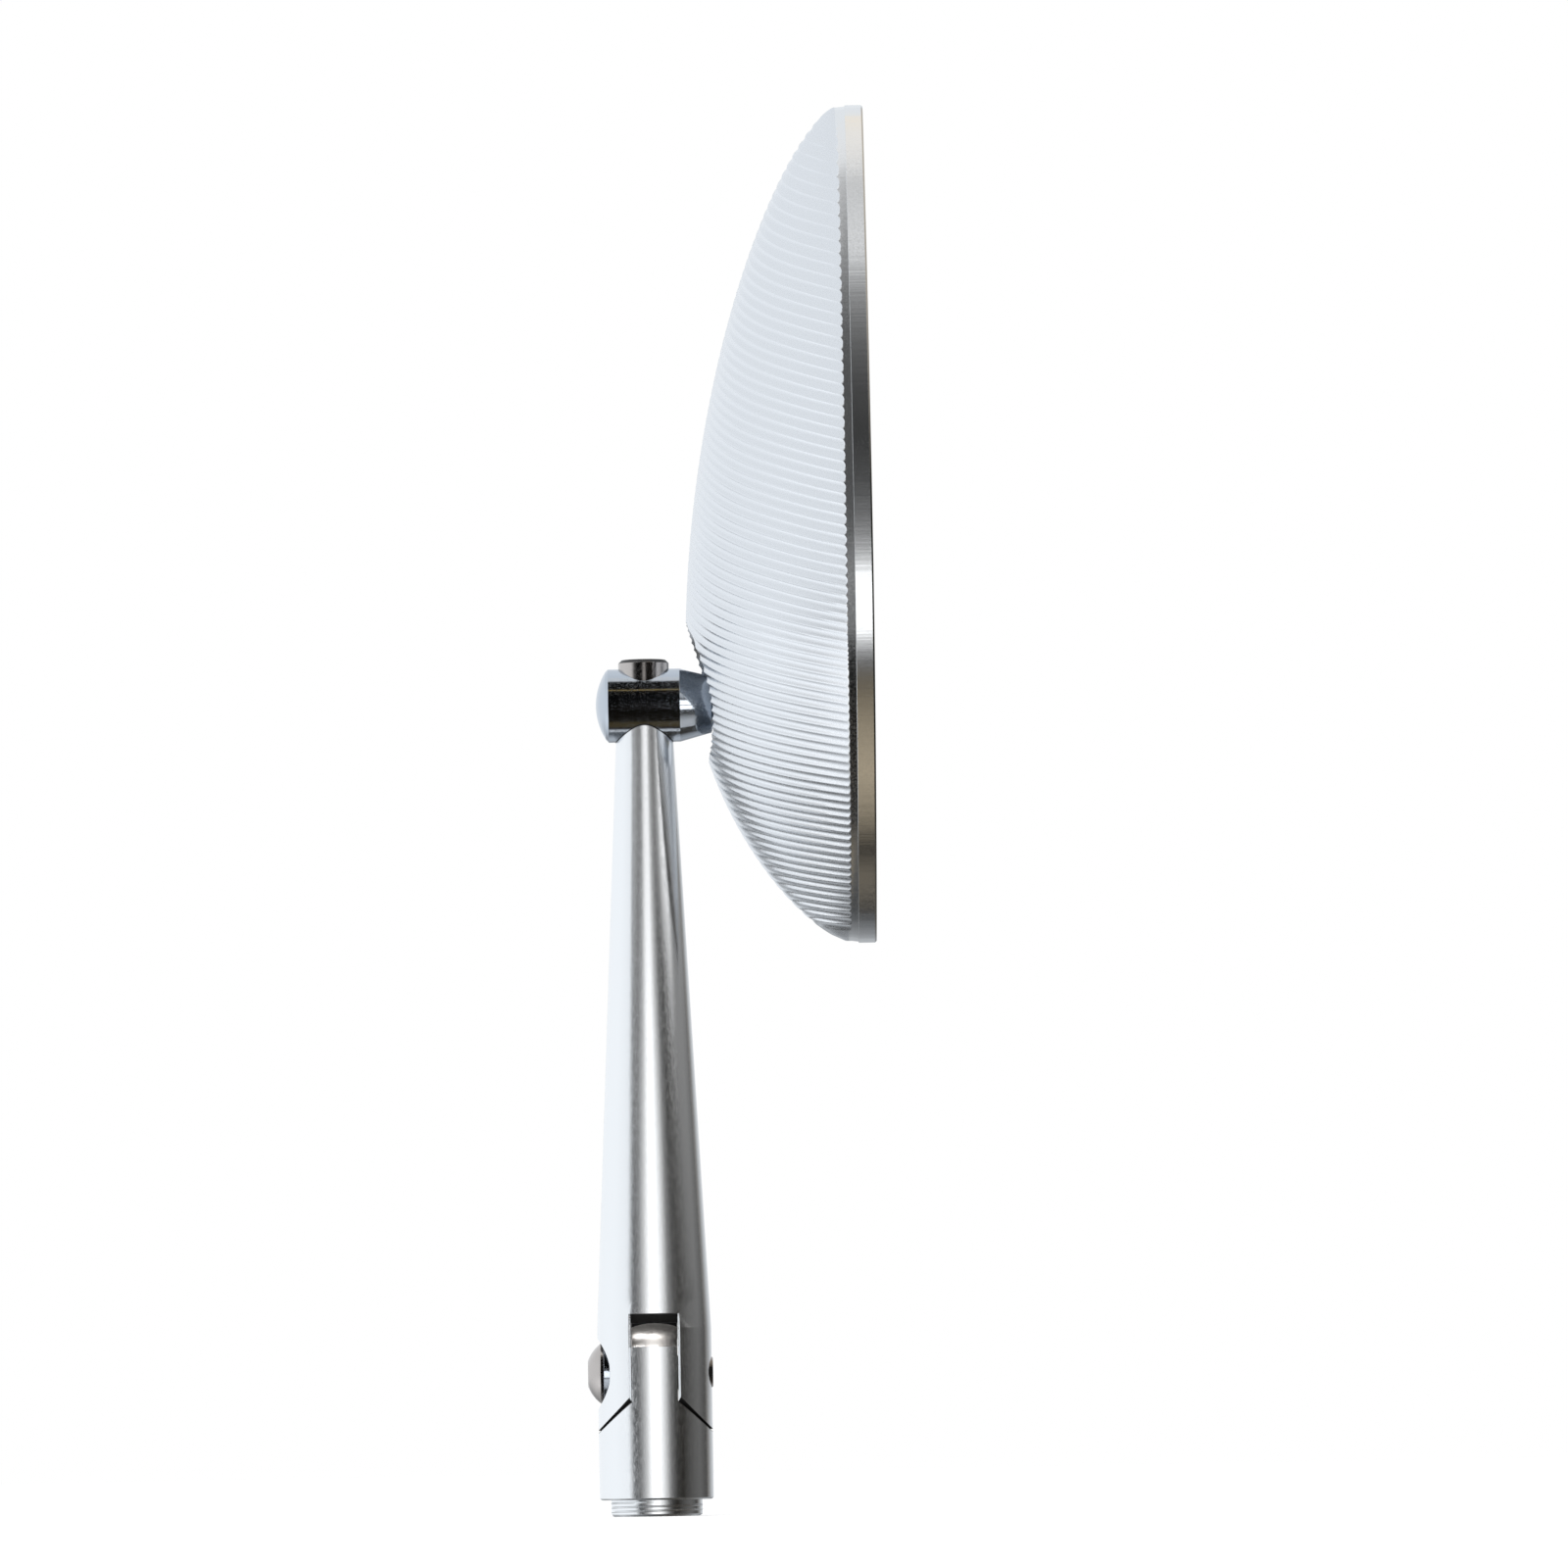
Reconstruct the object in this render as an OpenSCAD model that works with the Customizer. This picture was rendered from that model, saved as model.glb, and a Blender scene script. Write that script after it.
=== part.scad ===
// Motorcycle mirror: ribbed billet head on a ball joint, tapered stem and pivoting base.
// Millimetres, +Z up along the stem, +X towards the glass, origin at the base's mounting shoulder.

/* [Base] */
// Diameter of the base and of the stem's ears
base_d = 20; // [18:0.5:23]
// Height of the pivot axis above the mounting shoulder
hinge_z = 22.2; // [20:0.2:28]
// Diameter of the mounting spigot
spigot_d = 16; // [12:0.2:17]
// Length of the mounting spigot
spigot_l = 2.9; // [2:0.1:8]
// Radius of the tapped hole in the spigot
mount_hole_r = 3.4; // [2.5:0.1:5]
// Depth of the tapped hole
mount_hole_l = 14; // [8:0.5:15]
// Height of the tongue's upper edge over the pivot axis
tongue_edge = 4.5; // [3.6:0.1:5]
// Height of the tongue's crown over the pivot axis
tongue_crown = 8.7; // [7.5:0.1:9]
// Diameter of the turned crown
crown_d = 12.4; // [10:0.2:14]

/* [Stem] */
// Width of the slot that takes the tongue
slot_w = 8.2; // [7:0.2:9.6]
// Height of the slot's roof over the pivot axis
slot_roof = 10.3; // [9.8:0.1:14]
// Height over the pivot axis at which the taper starts
taper_start = 7.8; // [4:0.2:20]
// Diameter of the stem where it meets the knuckle's axis
stem_top_d = 9.5; // [9:0.1:12]

/* [Pivot screw] */
// Radius of the pivot screw's shank
pivot_r = 3; // [2.5:0.1:3.4]
// Diameter of its head
pivot_head_d = 10.5; // [9.5:0.1:11]
// Height of its head
pivot_head_h = 2.8; // [2.4:0.1:4]
// Width across the flats of its socket
pivot_key = 4; // [3:0.5:5]
// How far its tip stands out of the far ear
pivot_tip = 0.2; // [0:0.1:0.6]
// Radius of the counterbore in the ear
counterbore_r = 6.25; // [6.1:0.05:7]
// Distance of the counterbore's floor from the stem's axis
counterbore_x = 7.9; // [7:0.1:8.4]
// Thickness of the washer under the head
washer_t = 1; // [0.3:0.1:1.2]
// Outer diameter of the washer
washer_d = 11.6; // [10:0.1:12]

/* [Ball stud] */
// Height of the knuckle's axis and the ball over the shoulder
ball_z = 139.4; // [110:0.2:180]
// Radius of the knuckle
knuckle_r = 6.45; // [6:0.05:7]
// Depth of the oval knuckle from side to side, as a share of its height
knuckle_share = 0.9; // [0.88:0.01:1]
// Length of the knuckle on the side away from the head, dome included
knuckle_back = 8.5; // [7.5:0.1:12]
// Rise of the knuckle's domed end
knuckle_dome = 1.7; // [0.8:0.1:2.5]
// Length of the knuckle on the head's side
knuckle_front = 6.3; // [5.6:0.1:7]
// Where the taper ends
collar_end = 11.8; // [10:0.1:12]
// Radius at the end of the taper
collar_r = 4.95; // [4:0.05:5.2]
// Radius of the neck
neck_r = 3.2; // [2.5:0.1:3.4]
// Radius of the ball
ball_r = 7; // [6.9:0.05:7.2]
// Distance of the ball's centre from the stem's axis
ball_x = 22; // [21.6:0.1:23]

/* [Knuckle screw] */
// Radius of the knuckle screw's shank
screw_r = 2.5; // [2:0.1:2.6]
// Diameter of its head
screw_head_d = 8.9; // [8:0.1:9.2]
// Height of its head
screw_head_h = 4.6; // [3.5:0.1:5]
// How far the head stands over the knuckle's crest
screw_proud = 1.55; // [0.5:0.05:2]
// Length under the head
screw_l = 20; // [16:1:30]
// Width across the flats of its socket
screw_key = 4; // [3:0.5:5]

/* [Head] */
// Full width of the head
head_w = 70; // [64:1:84]
// Height of the widest place over the ball
wide_up = 18.6; // [12:0.2:24]
// Length of the head above its widest place
lobe_up = 86.9; // [78:0.5:100]
// Length of the head below its widest place
lobe_down = 61; // [57:0.5:70]
// Height of the dome's apex over the ball
apex_up = 10.3; // [6:0.1:14]
// Distance of the dome's apex from the stem's axis
apex_x = 7.5; // [7.4:0.1:9]
// Distance of the ribs' ends from the stem's axis
dome_x = 35.3; // [34.5:0.1:36]
// Distance of the front edge from the stem's axis
front_x = 40.2; // [39.9:0.1:42]
// Width of the smooth band beside the ribs
band_l = 1.5; // [1:0.1:1.8]
// How far the rim stands proud of the ribs' ends at the sides
rim_proud = 0.7; // [0.4:0.05:1]
// How far it stands proud at the two tips
tip_proud = 0.35; // [0.2:0.05:0.6]
// Width of the front chamfer
rim_chamfer = 0.8; // [0.4:0.1:1.2]

/* [Ribs] */
// Distance from groove to groove, across the grooves
rib_pitch = 1.55; // [1.4:0.05:2.4]
// Depth of the grooves
rib_depth = 0.3; // [0.15:0.05:0.45]
// Slant of the grooves, seen from behind
rib_angle = 26; // [10:1:32]

/* [Glass] */
// Thickness of the mirror glass
glass_t = 2; // [1.6:0.1:2.4]
// Width of the rim round the glass
rim_w = 1.8; // [1.5:0.1:3]
// How far the glass lies below the front edge
glass_sunk = 0.3; // [0.1:0.1:0.6]
// Thickness of the foam pad behind the glass
pad_t = 0.8; // [0.5:0.1:1.2]
// Distance of the pad's edge from the glass's edge
pad_in = 2; // [1:0.5:4]

/* [Socket] */
// Radius of the pocket round the stud, in the back of the head
pocket_r = 12.3; // [12:0.1:13]
// Height of the pocket's axis over the ball
pocket_up = 2.2; // [1.5:0.1:2.4]
// Distance of the pocket's floor from the stem's axis
pocket_x = 14.5; // [14.2:0.1:14.9]
// Radius of the opening that the neck swings in
mouth_r = 6.2; // [6:0.1:6.4]
// Wall of the cups round the ball
cup_t = 1.35; // [1.1:0.05:1.5]
// Angle from the neck to the rear cup's near edge
mouth_angle = 48; // [47:1:52]
// Angle from the other end to the hole in the front cup
hole_angle = 25; // [15:1:35]
// Angle from each end to the cups' facing edges
edge_angle = 78; // [74:1:79]
// Radius of the boss that holds the socket's cap
boss_r = 15.5; // [15:0.1:16]
// Distance of the boss's face from the stem's axis
boss_x = 31; // [30.9:0.1:31.4]
// Thickness of the cap's flange
cap_t = 2.2; // [2:0.1:2.6]
// Number of screws in the cap
cap_screw_n = 3; // [3:1:4]
// Radius of the circle that the cap's screws stand on
cap_screw_circle = 12; // [11.6:0.1:12.2]
// Radius of the cap's screws
cap_screw_r = 1.5; // [1.2:0.1:1.6]
// Diameter of their heads
cap_head_d = 5.5; // [4.5:0.1:5.8]
// Height of their heads
cap_head_h = 1.65; // [1:0.05:1.8]
// Width across the flats of their sockets
cap_key = 2; // [1.3:0.1:2.5]
// Length of the cap's screws under the head
cap_screw_l = 8; // [6:0.5:9]

/* [Clearances] */
// Gap on each side of the tongue
tongue_gap = 0.1; // [0.05:0.05:0.2]
// Gap between the ears' ends and the shoulders
seat_gap = 0.4; // [0.15:0.05:0.5]
// Running gap round the pivot screw
pivot_gap = 0.06; // [0.02:0.01:0.1]
// Running gap between ball, cups and socket
ball_gap = 0.05; // [0.03:0.01:0.1]
// Gap of a seated screw or plug in its hole
fit_gap = 0.02; // [0.01:0.01:0.05]
// Gap round the glass
glass_gap = 0.1; // [0.05:0.05:0.3]
// Gap round a screw in its clearance hole
screw_room = 0.1; // [0.05:0.05:0.2]

/* [Hidden] */
$fn = 96;
over = 1;

base_r = base_d / 2;
tongue_t = slot_w - 2 * tongue_gap;
crown_wall = 1.2;
// Web that closes the back of the stem's slot over the crown, out of reach of the tongue's edge
web_roof = tongue_crown + tongue_gap;
web_y = sqrt(pow(base_r, 2) + pow(tongue_edge, 2) - pow(web_roof, 2)) + tongue_gap;
base_chamfer = 0.3;
spigot_chamfer = 0.4;
slot_chamfer = 0.6;
pivot_head_x = counterbore_x + washer_t;
pivot_head_side = 0.6;
// Depth of a key socket, as a share of the screw head's height
key_depth = 0.6;
knuckle_edge = 0.5;
collar_edge = 0.6;
screw_head_z = knuckle_r + screw_proud - screw_head_h;
screw_edge = 0.6;
thread_lead = 0.5;
drill_point = 1;
seat_r = ball_r + 2 * ball_gap + cup_t;
cup_plane = seat_r * cos(edge_angle);
glass_x = front_x - glass_sunk - glass_t;
pad_x = glass_x - pad_t;
cap_room = 0.5;
cap_screw_start = 30;

// Fullness of the head's outline, of the dome along its ridge and of the dome across: exponents of one curve
plan_curve = [1.8, 0.87];
ridge_curve = [1.8, 0.7];
dome_curve = [2.33, 1];
// At the pointed tips an inset along the head is this much longer than at the sides
tip_ratio = 1.5;
dome_h = dome_x - apex_x;
rib_stations = 16;
tip_margin = 0.12;
slope_step = 0.2;
max_steepness = 2.4;
// Step from the smooth band up to the rim: its length, and its height as a share of the rim's
lip_l = 0.5;
lip_share = 0.6;
outline_n = 96;
// Terraces milled behind the glass: setback of the floor, inset at the sides, inset at the tips
terraces = [[5, 5, 13], [10, 10, 26], [16, 16, 40]];

module along_x() {
    rotate([0, 90, 0]) children();
}

module at_ball() {
    translate([ball_x, 0, ball_z]) children();
}

// Regular hexagonal socket, d across the flats, from z = 0 down
module key_socket(d, h) {
    translate([0, 0, -h]) cylinder(d = d / cos(30), h = h + over, $fn = 6);
}

function lobe(u, curve) = pow(max(0, 1 - pow(abs(u), curve[0])), curve[1]);

// Length of the outline's lobe on the side s, below or above the widest place
function lobe_l(s, tip_in) = (s < 0 ? lobe_down : lobe_up) - tip_in;
// Point on the head's outline at u from -1 at the bottom tip to 1 at the top, inset at sides and tips
function reach(u, tip_in) = u * lobe_l(u, tip_in);
function half_w(u, side_in) = (head_w / 2 - side_in) * lobe(u, plan_curve);
function outline_points(side_in, tip_in, n) = [
    for (i = [0 : n - 1])
        let (a = 360 * i / n, u = cos(a), side = a < 180 ? 1 : -1)
            [side * half_w(u, side_in), wide_up + reach(u, tip_in)]
];

// Height of the dome over its rim plane at the plan point y, z, measured from the ball
function u_of(z, tip_in) = (z - wide_up) / lobe_l(z - wide_up, tip_in);
function ridge_h(z) =
    let (s = z - apex_up, end = wide_up + sign(s) * lobe_l(s, tip_proud))
        dome_h * lobe(s / (end - apex_up), ridge_curve);
function dome_w(z) = half_w(u_of(z, tip_proud), rim_proud);
function height(y, z) = ridge_h(z) * lobe(min(1, y / max(dome_w(z), 0.001)), dome_curve);

// Rise of the dome towards the middle, per mm, and how much deeper a groove is along X for it
function climb(y, z) = let (h = height(y, z), dy = y < 0 ? slope_step : -slope_step)
    [height(y + dy, z) - h, height(y, z + (z < apex_up ? slope_step : -slope_step)) - h] / slope_step;
function steepness(y, z) = min(max_steepness, norm([1, climb(y, z)[0], climb(y, z)[1]]));

// Where a rib that crosses the middle at z0 runs out on the side s, by halving the interval
function rib_end(z0, s, low = 0, high = head_w / 2, n = 22) =
    n == 0 ? (low + high) / 2
    : let (mid = (low + high) / 2)
        mid < dome_w(z0 + s * mid * tan(rib_angle))
            ? rib_end(z0, s, mid, high, n - 1)
            : rib_end(z0, s, low, mid, n - 1);

// One crest, or one valley d deep, from side to side
function rib_row(z0, d) =
    let (near = -rib_end(z0, -1), far = rib_end(z0, 1))
        [for (i = [0 : rib_stations])
            let (
                y = (near + far) / 2 - (far - near) / 2 * cos(180 * i / rib_stations),
                z = z0 + y * tan(rib_angle),
                at_edge = i == 0 || i == rib_stations
            )
                [dome_x - (at_edge ? 0 : height(y, z)) + d * steepness(y, z), y, z]];

// The shell's outside as one closed mesh: crest and valley rows of the dome, then the rim's rings
module shell_body() {
    rib_step = rib_pitch / cos(rib_angle) / 2;
    low = wide_up - lobe_down + tip_proud;
    high = wide_up + lobe_up - tip_proud;
    inner = floor((high - low - rib_step) / (2 * rib_step)) * 2 - 1;
    start = (low + high) / 2 - rib_step * (inner - 1) / 2;
    heights = concat([low + tip_margin], [for (k = [0 : inner - 1]) start + k * rib_step], [high - tip_margin]);
    last = len(heights) - 1;
    rows = [for (k = [0 : last]) rib_row(heights[k], k % 2 == 1 && k < last ? rib_depth : 0)];
    m = rib_stations;
    // Ends of the rows, once round the head
    ends = concat([for (k = [0 : last]) rows[k][0]], [for (k = [last : -1 : 0]) rows[k][m]]);
    end_index = concat([for (k = [0 : last]) k * (m + 1)], [for (k = [last : -1 : 0]) k * (m + 1) + m]);
    loop = len(ends);
    rings = [
        [dome_x + band_l, rim_proud * lip_share, tip_proud * lip_share],
        [dome_x + band_l + lip_l, 0, 0],
        [front_x - rim_chamfer, 0, 0],
        [front_x, rim_chamfer, rim_chamfer]
    ];
    ring_points = [for (r = rings) for (p = ends)
        let (u = u_of(p[2], tip_proud), side = p[1] < 0 ? -1 : 1)
            [r[0], side * half_w(u, r[1]), wide_up + reach(u, r[2])]];
    dome_points = [for (row = rows) for (p = row) p];
    first_ring = len(dome_points);
    dome_faces = [for (k = [0 : last - 1]) for (i = [0 : m - 1])
        let (a = k * (m + 1) + i, b = a + m + 1)
            each [[a, b, a + 1], [a + 1, b, b + 1]]];
    row_ends = [[for (i = [0 : m]) i], [for (i = [m : -1 : 0]) last * (m + 1) + i]];
    function ring_i(r, i) = r == 0 ? end_index[i % loop] : first_ring + (r - 1) * loop + i % loop;
    wall = [for (r = [0 : len(rings) - 1]) for (i = [0 : loop - 1])
        each [[ring_i(r, i), ring_i(r + 1, i), ring_i(r, i + 1)],
            [ring_i(r, i + 1), ring_i(r + 1, i), ring_i(r + 1, i + 1)]]];
    front = [[for (i = [loop - 1 : -1 : 0]) ring_i(len(rings), i)]];
    polyhedron(concat(dome_points, ring_points), concat(dome_faces, row_ends, wall, front));
}

// Plate or recess of the head's outline, from the plane x on, h thick
module plate(x, h, side_in, tip_in, n) {
    translate([x, 0, 0]) rotate([90, 0, 90]) linear_extrude(h) polygon(outline_points(side_in, tip_in, n));
}

module at_cap_screws() {
    for (i = [0 : cap_screw_n - 1]) rotate([360 * i / cap_screw_n + cap_screw_start, 0, 0])
        translate([boss_x, 0, cap_screw_circle]) along_x() children();
}

module shell() {
    hole_l = cap_screw_l - cap_t + drill_point;
    color("gainsboro") translate([0, 0, ball_z]) difference() {
        shell_body();
        plate(pad_x, front_x, rim_w, rim_w * tip_ratio, outline_n);
        difference() {
            for (t = terraces) plate(pad_x - t[0], t[0] + over, t[1], t[2], outline_n / 2);
            along_x() cylinder(r = boss_r, h = boss_x);
        }
        translate([boss_x, 0, 0]) along_x() cylinder(r = boss_r + cap_room, h = pad_x - boss_x + over);
        translate([ball_x, 0, 0]) sphere(r = seat_r);
        translate([ball_x, 0, 0]) along_x() cylinder(r = seat_r, h = boss_x - ball_x + over);
        translate([pocket_x - over, 0, 0]) along_x() cylinder(r = mouth_r, h = ball_x - pocket_x);
        translate([0, 0, pocket_up]) along_x() cylinder(r = pocket_r, h = pocket_x);
        at_cap_screws() translate([0, 0, -hole_l]) cylinder(r = cap_screw_r + fit_gap, h = hole_l + over);
    }
}

// Flanged cap: its plug closes the socket and holds the front cup
module socket_cap() {
    plug_x = ball_x + ball_r / 2;
    color("silver") translate([0, 0, ball_z]) difference() {
        union() {
            translate([boss_x, 0, 0]) along_x() cylinder(r = boss_r, h = cap_t);
            translate([plug_x, 0, 0]) along_x() cylinder(r = seat_r - fit_gap, h = boss_x - plug_x + cap_t / 2);
        }
        translate([ball_x, 0, 0]) sphere(r = seat_r);
        at_cap_screws() translate([0, 0, -over]) cylinder(r = cap_screw_r + screw_room, h = cap_t + 2 * over);
    }
}

module cap_screws() {
    color("dimgray") translate([0, 0, ball_z]) at_cap_screws() difference() {
        union() {
            translate([0, 0, cap_t - cap_screw_l]) cylinder(r = cap_screw_r, h = cap_screw_l + cap_head_h / 2);
            translate([0, 0, cap_t]) cylinder(d = cap_head_d, h = cap_head_h);
        }
        translate([0, 0, cap_t + cap_head_h]) key_socket(cap_key, cap_head_h * key_depth);
    }
}

// Half of the nylon liner round the ball: a hollow ball cut off flat, with a conical mouth along +Z
module cup(opening) {
    difference() {
        sphere(r = seat_r - ball_gap);
        sphere(r = ball_r + ball_gap);
        cylinder(r1 = 0, r2 = 2 * seat_r * tan(opening), h = 2 * seat_r);
        translate([-seat_r, -seat_r, cup_plane - 2 * seat_r]) cube(2 * seat_r);
    }
}

module rear_cup() {
    color("ivory") at_ball() rotate([0, -90, 0]) cup(mouth_angle);
}

module front_cup() {
    color("ivory") at_ball() rotate([0, 90, 0]) cup(hole_angle);
}

module mirror_glass() {
    inset = rim_w + glass_gap;
    color("lightsteelblue") translate([0, 0, ball_z])
        plate(glass_x, glass_t, inset, inset * tip_ratio, outline_n);
}

module glass_pad() {
    inset = rim_w + pad_in;
    color("dimgray") translate([0, 0, ball_z]) plate(pad_x, pad_t, inset, inset * tip_ratio, outline_n / 2);
}

// Turned outline of the base: spigot, body, tongue edge and crown
module base_blank() {
    edge_z = hinge_z + tongue_edge;
    dome = tongue_crown - tongue_edge - crown_wall;
    steps = 8;
    rotate_extrude() polygon(concat(
        [[0, -spigot_l], [spigot_d / 2 - spigot_chamfer, -spigot_l], [spigot_d / 2, spigot_chamfer - spigot_l],
            [spigot_d / 2, 0], [base_r - base_chamfer, 0], [base_r, base_chamfer]],
        [[base_r, edge_z], [crown_d / 2, edge_z]],
        [for (i = [0 : steps]) let (a = 90 * i / steps)
            [crown_d / 2 * cos(a), edge_z + crown_wall + dome * sin(a)]]));
}

module base() {
    color("lightgray") difference() {
        base_blank();
        for (side = [0, 1]) mirror([side, 0, 0]) translate([tongue_t / 2, 0, hinge_z]) {
            along_x() cylinder(r = base_r + seat_gap, h = base_d);
            translate([0, -base_d, 0]) cube([base_d, 2 * base_d, base_d]);
        }
        translate([-base_d / 2, 0, hinge_z]) along_x() cylinder(r = pivot_r + pivot_gap, h = base_d);
        translate([0, 0, -spigot_l - over]) cylinder(r = mount_hole_r, h = mount_hole_l + over);
    }
}

module stem() {
    top_z = ball_z;
    taper_z = hinge_z + taper_start;
    slot_edge_y = sqrt(pow(base_r, 2) - pow(slot_w / 2, 2));
    chamfer_side = slot_chamfer * sqrt(2);
    color("lightgray") difference() {
        intersection() {
            rotate_extrude() polygon([[0, hinge_z - base_r], [base_r, hinge_z - base_r], [base_r, taper_z],
                [stem_top_d / 2, top_z], [0, top_z]]);
            union() {
                translate([-base_d, 0, hinge_z]) along_x() cylinder(r = base_r, h = 2 * base_d);
                translate([-base_d, -base_d, hinge_z]) cube([2 * base_d, 2 * base_d, ball_z]);
            }
        }
        translate([-slot_w / 2, -base_d, hinge_z - base_d]) {
            cube([slot_w, 2 * base_d, base_d + web_roof]);
            cube([slot_w, base_d + web_y, base_d + slot_roof]);
        }
        for (edge = [[0, web_roof], [180, slot_roof]], side = [-1, 1]) rotate([0, 0, edge[0]])
            translate([side * slot_w / 2, slot_edge_y, hinge_z - base_d]) rotate([0, 0, 45])
                translate([-chamfer_side / 2, -chamfer_side / 2, 0])
                    cube([chamfer_side, chamfer_side, base_d + edge[1]]);
        translate([-base_d - counterbore_x, 0, hinge_z]) along_x() cylinder(r = counterbore_r, h = base_d);
        translate([-base_r, 0, hinge_z]) along_x() cylinder(r = pivot_r + screw_room, h = base_r);
        translate([0, 0, hinge_z]) along_x() cylinder(r = pivot_r + fit_gap, h = base_r + over);
        translate([-base_d, 0, ball_z]) scale([1, knuckle_share, 1]) along_x()
            cylinder(r = knuckle_r + fit_gap, h = 2 * base_d);
        translate([0, 0, ball_z + screw_head_z - screw_l - over]) cylinder(r = screw_r + fit_gap, h = screw_l);
    }
}

// Button-head screw from the counterbore through ear, tongue and ear, its tip just out of the far side
module pivot_screw() {
    tip = -pivot_head_x - base_r - pivot_tip;
    head_r = pivot_head_d / 2;
    // The head's dome: an arc about a point on the axis, from its side up to the socket's corners
    flat_r = pivot_key / 2 / cos(30);
    rise = pivot_head_h - pivot_head_side;
    centre = pivot_head_side + (pow(flat_r, 2) - pow(head_r, 2) + pow(rise, 2)) / (2 * rise);
    dome_r = norm([flat_r, pivot_head_h - centre]);
    side_a = asin(head_r / dome_r);
    flat_a = asin(flat_r / dome_r);
    steps = 6;
    color("silver") translate([-pivot_head_x, 0, hinge_z]) rotate([0, -90, 0]) difference() {
        rotate_extrude() polygon(concat(
            [[0, tip], [pivot_r - thread_lead, tip], [pivot_r, tip + thread_lead], [pivot_r, 0], [head_r, 0]],
            [for (i = [0 : steps]) let (a = side_a + (flat_a - side_a) * i / steps)
                [dome_r * sin(a), centre + dome_r * cos(a)]],
            [[0, pivot_head_h]]));
        translate([0, 0, pivot_head_h]) key_socket(pivot_key, pivot_head_h * key_depth);
    }
}

module pivot_washer() {
    color("gainsboro") translate([-pivot_head_x, 0, hinge_z]) along_x() difference() {
        cylinder(d = washer_d, h = washer_t);
        translate([0, 0, -over]) cylinder(r = pivot_r + screw_room, h = washer_t + 2 * over);
    }
}

// Oval knuckle, taper, round neck and ball in one piece, cross-drilled for the knuckle screw
module ball_stud() {
    chord = knuckle_r - knuckle_edge;
    dome_r = (pow(chord, 2) + pow(knuckle_dome, 2)) / (2 * knuckle_dome);
    steps = 8;
    color("silver") translate([0, 0, ball_z]) difference() {
        union() {
            scale([1, knuckle_share, 1]) along_x() rotate_extrude() polygon(concat(
                [for (i = [0 : steps]) let (a = asin(chord / dome_r) * i / steps)
                    [dome_r * sin(a), dome_r * (1 - cos(a)) - knuckle_back]],
                [[knuckle_r, knuckle_dome + knuckle_edge - knuckle_back], [knuckle_r, knuckle_front],
                    [collar_r, collar_end], [neck_r, collar_end + collar_edge], [0, collar_end + collar_edge]]));
            along_x() cylinder(r = neck_r, h = ball_x);
            translate([ball_x, 0, 0]) sphere(r = ball_r);
        }
        translate([0, 0, screw_head_z]) cylinder(d = screw_head_d + 2 * fit_gap, h = knuckle_r * 2);
        translate([0, 0, -knuckle_r * 2]) cylinder(r = screw_r + screw_room, h = knuckle_r * 3);
    }
}

module knuckle_screw() {
    color("silver") translate([0, 0, ball_z + screw_head_z]) difference() {
        rotate_extrude() polygon([[0, -screw_l], [screw_r - thread_lead, -screw_l],
            [screw_r, thread_lead - screw_l], [screw_r, 0], [screw_head_d / 2, 0],
            [screw_head_d / 2, screw_head_h - screw_edge], [screw_head_d / 2 - screw_edge, screw_head_h],
            [0, screw_head_h]]);
        translate([0, 0, screw_head_h]) key_socket(screw_key, screw_head_h * key_depth);
    }
}

base();
stem();
pivot_screw();
pivot_washer();
ball_stud();
knuckle_screw();
rear_cup();
front_cup();
shell();
socket_cap();
cap_screws();
glass_pad();
mirror_glass();
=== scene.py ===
"""Looks of the motorcycle mirror: ribbed billet head, ball joint, turned stem and pivoting base."""

from math import cos, pi, radians, sin, tan

import bmesh
import bpy
import numpy as np
from mathutils import Matrix, Vector


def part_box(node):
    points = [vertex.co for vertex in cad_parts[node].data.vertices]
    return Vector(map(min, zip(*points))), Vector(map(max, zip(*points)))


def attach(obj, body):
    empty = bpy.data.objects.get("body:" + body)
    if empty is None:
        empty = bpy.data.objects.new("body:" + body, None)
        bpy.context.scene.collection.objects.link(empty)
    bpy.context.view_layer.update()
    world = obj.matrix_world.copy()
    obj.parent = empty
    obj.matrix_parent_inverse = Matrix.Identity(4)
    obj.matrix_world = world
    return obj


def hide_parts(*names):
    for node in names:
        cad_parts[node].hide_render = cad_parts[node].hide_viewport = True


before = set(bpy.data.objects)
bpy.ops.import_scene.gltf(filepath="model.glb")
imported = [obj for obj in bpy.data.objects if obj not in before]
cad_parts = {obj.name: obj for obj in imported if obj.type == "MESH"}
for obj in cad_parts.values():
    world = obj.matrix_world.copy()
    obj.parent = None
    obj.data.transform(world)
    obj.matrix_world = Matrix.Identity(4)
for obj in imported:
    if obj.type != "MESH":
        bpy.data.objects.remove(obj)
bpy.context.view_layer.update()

MM = 0.001
FAR = 1000.0  # millimetres, past every piece
# Places on the solids, in millimetres in the frame
BALL_Z, KNUCKLE_R, KNUCKLE_SHARE = 139.4, 6.45, 0.9
HINGE_Z, SLOT_W, SLOT_ROOF, TONGUE_EDGE, EAR_R, SEAT_GAP = 22.2, 8.2, 32.5, 26.7, 10.0, 0.4
EAR_OUT_X, HEAD_EDGE_Z = 8.5, 147.08
FLOOR_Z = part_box("base")[0].z


def linear(hex_colour):
    """The linear RGBA of an sRGB hex colour."""
    channels = [int(hex_colour[i:i + 2], 16) / 255 for i in (1, 3, 5)]
    return [c / 12.92 if c <= 0.04045 else ((c + 0.055) / 1.055) ** 2.4 for c in channels] + [1.0]


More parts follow.
